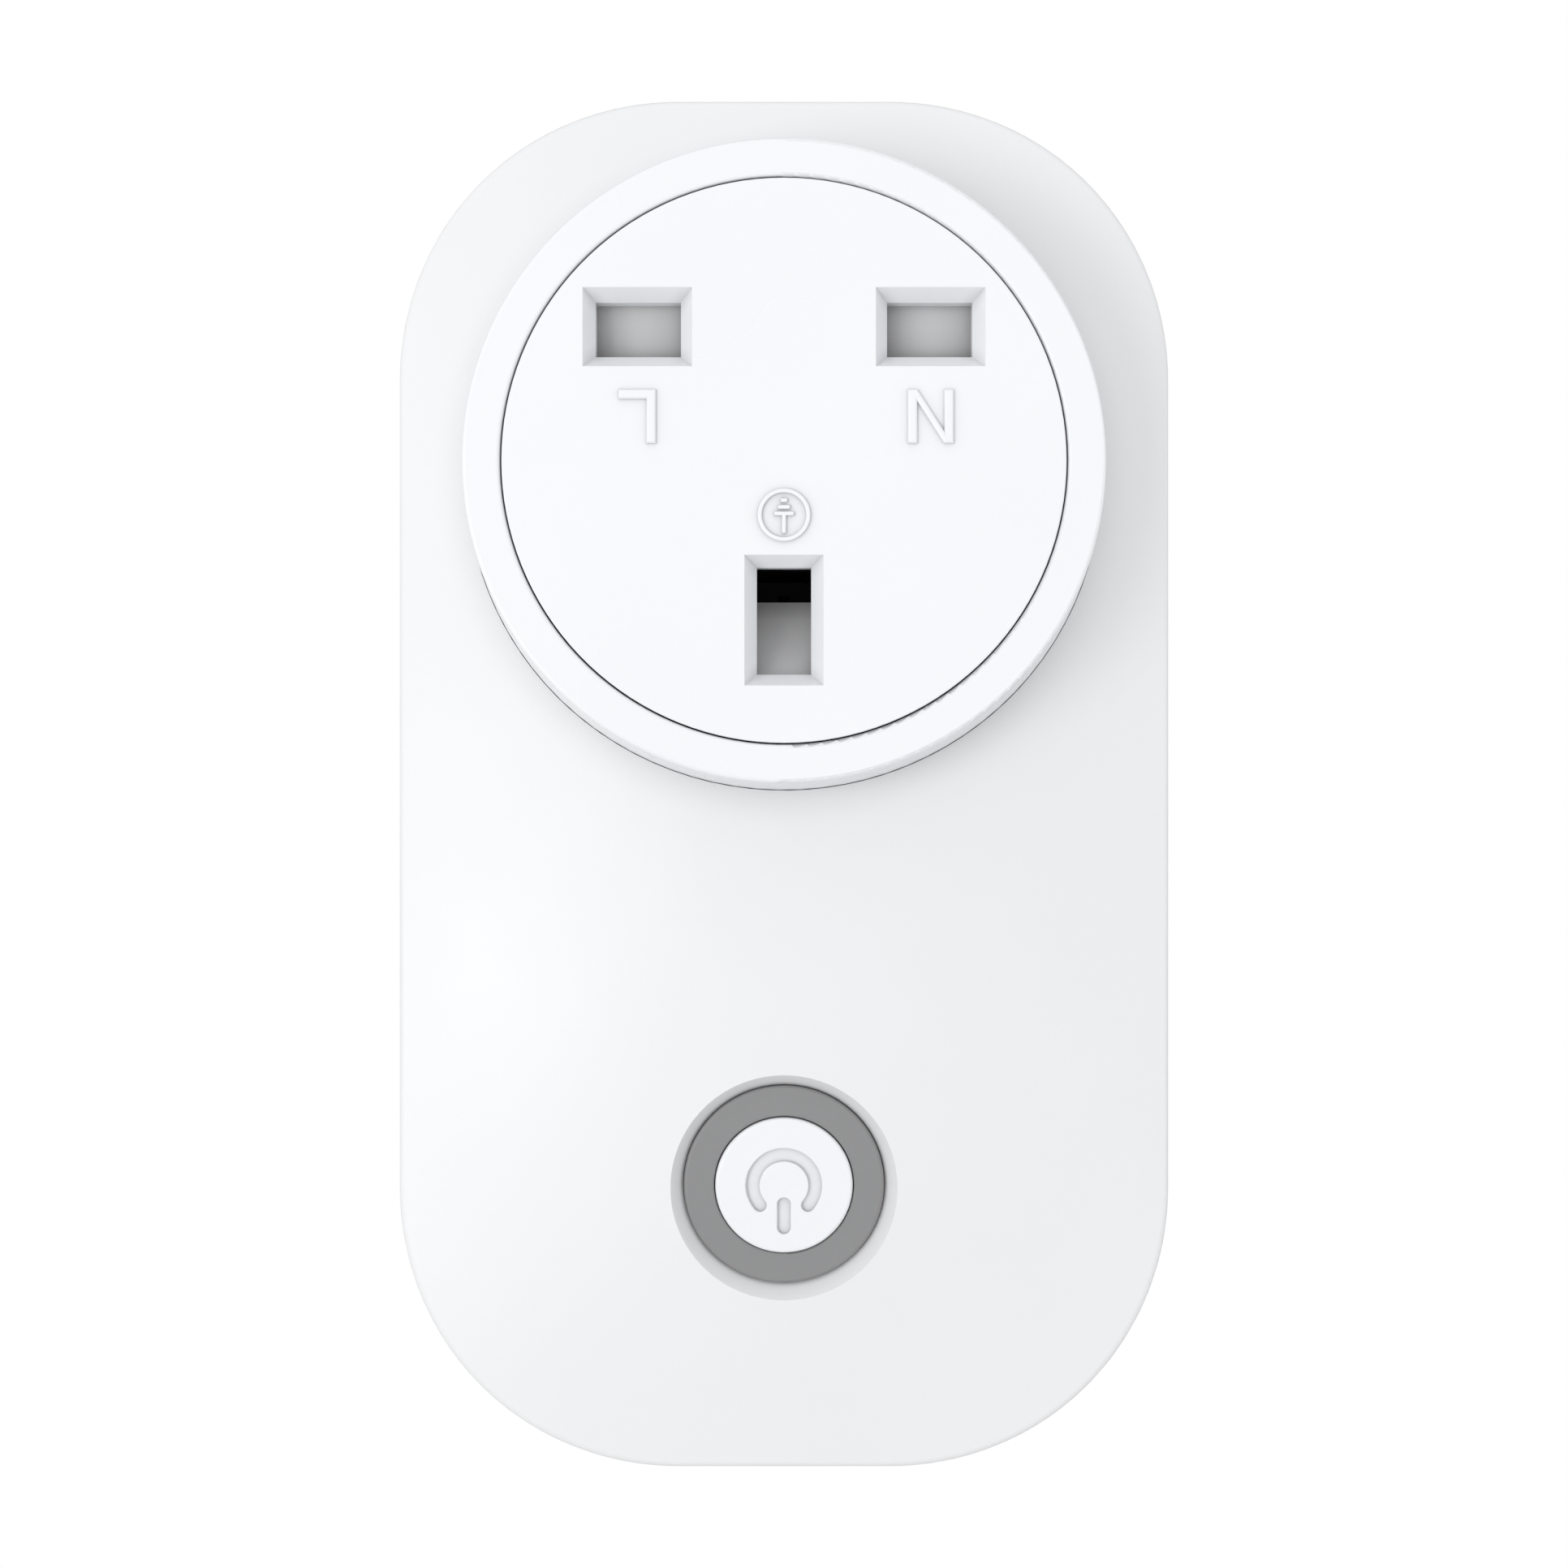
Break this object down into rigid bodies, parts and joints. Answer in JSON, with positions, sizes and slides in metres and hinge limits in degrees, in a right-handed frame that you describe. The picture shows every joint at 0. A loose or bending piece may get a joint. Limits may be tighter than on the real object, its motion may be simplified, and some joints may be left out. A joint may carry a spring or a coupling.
{
  "type": "plug-in power meter",
  "caption": "White plug-in socket adaptor with energy metering: shuttered outlet in a round raised bezel, power button in a grey light ring, rectangular pins behind.",
  "frame": {"origin": "centre of the flat rear face that lies against the wall plate", "axes": "+Y out of the rear face, along the plug pins; -Y is the face with the outlet; +Z from the button end to the outlet end, as drawn, which is the other way up from a wall socket with its earth slot on top"},
  "size_m": [0.0616, 0.061, 0.1092],
  "materials": {
    "case_white": "satin moulded plastic",
    "face_white": "satin moulded plastic, slightly cooler",
    "shutter_white": "matt moulded plastic",
    "light_grey": "grey light diffuser, unlit",
    "black_nylon": "glass-filled nylon",
    "sleeve_black": "pin insulation",
    "pin_brass": "drawn and tumbled brass",
    "copper": "stamped copper alloy",
    "spring_steel": "steel",
    "screw_steel": "zinc-plated steel",
    "shield_tin": "tin-plated steel",
    "board_green": "solder mask on glass epoxy",
    "board_blue": "solder mask on glass epoxy",
    "relay_black": "moulded case",
    "winding_copper": "enamelled copper winding",
    "chip_black": "moulded package",
    "varistor_blue": "epoxy coating",
    "film_yellow": "moulded box",
    "can_black": "shrink sleeve",
    "ferrite": "sintered ferrite",
    "tape_yellow": "polyester tape",
    "antenna_white": "ceramic",
    "led_lens": "clear lens"
  },
  "bodies": {
    "root": {"board_header": "chip_black", "board_screws": "screw_steel", "bridge_rectifier": "chip_black", "bulk_capacitor": "can_black", "button_board": "board_green", "button_board_screws": "screw_steel", "carrier_screws": "screw_steel", "case_screws": "screw_steel", "contact_carrier": "black_nylon", "contact_retainer": "black_nylon", "earth_contact": "copper", "earth_link": "copper", "earth_pin": "pin_brass", "film_capacitor": "film_yellow", "filter_inductor": "ferrite", "front_cover": "case_white", "light_ring": "light_grey", "live_contact": "copper", "live_link": "copper", "live_pin": "pin_brass", "live_pin_sleeve": "sleeve_black", "main_board": "board_green", "metering_chip": "chip_black", "neutral_contact": "copper", "neutral_link": "copper", "neutral_pin": "pin_brass", "neutral_pin_sleeve": "sleeve_black", "output_capacitor": "can_black", "pin_retainer": "black_nylon", "power_fuse": "relay_black", "radio_antenna": "antenna_white", "radio_board": "board_blue", "radio_shield": "shield_tin", "rear_cover": "case_white", "relay_base": "relay_black", "relay_case": "relay_black", "relay_coil": "winding_copper", "relay_fixed_contact": "copper", "relay_yoke": "spring_steel", "retainer_screws": "screw_steel", "shunt_resistor": "copper", "shutter_spring": "spring_steel", "socket_bezel_ring": "face_white", "socket_faceplate": "face_white", "status_leds": "led_lens", "surge_varistor": "varistor_blue", "switched_live_link": "copper", "tact_switch_body": "chip_black", "transformer_core": "ferrite", "transformer_winding": "tape_yellow"},
    "shutter": {"shutter": "shutter_white"},
    "button": {"button_cap": "face_white", "tact_switch_plunger": "shutter_white"},
    "relay_armature": {"relay_armature": "spring_steel"}
  },
  "joints": [
    {"name": "shutter_slide", "type": "slide", "parent": "root", "child": "shutter", "axis": [0, 0, -1], "range_m": [0, 0.006], "stiffness_N_per_m": 60, "springref_m": -0.004, "deforming": ["shutter_spring"]},
    {"name": "button_press", "type": "slide", "parent": "root", "child": "button", "axis": [0, 0.9942, 0.108], "range_m": [0, 0.0004], "stiffness_N_per_m": 1200, "springref_m": -0.0002},
    {"name": "armature_hinge", "type": "hinge", "parent": "root", "child": "relay_armature", "pos_m": [-0.01925, -0.0223, -0.0164], "axis": [-1, 0, 0], "range_deg": [0, 4.5], "stiffness_Nm_per_rad": 0.01, "springref_deg": -5.73}
  ]
}
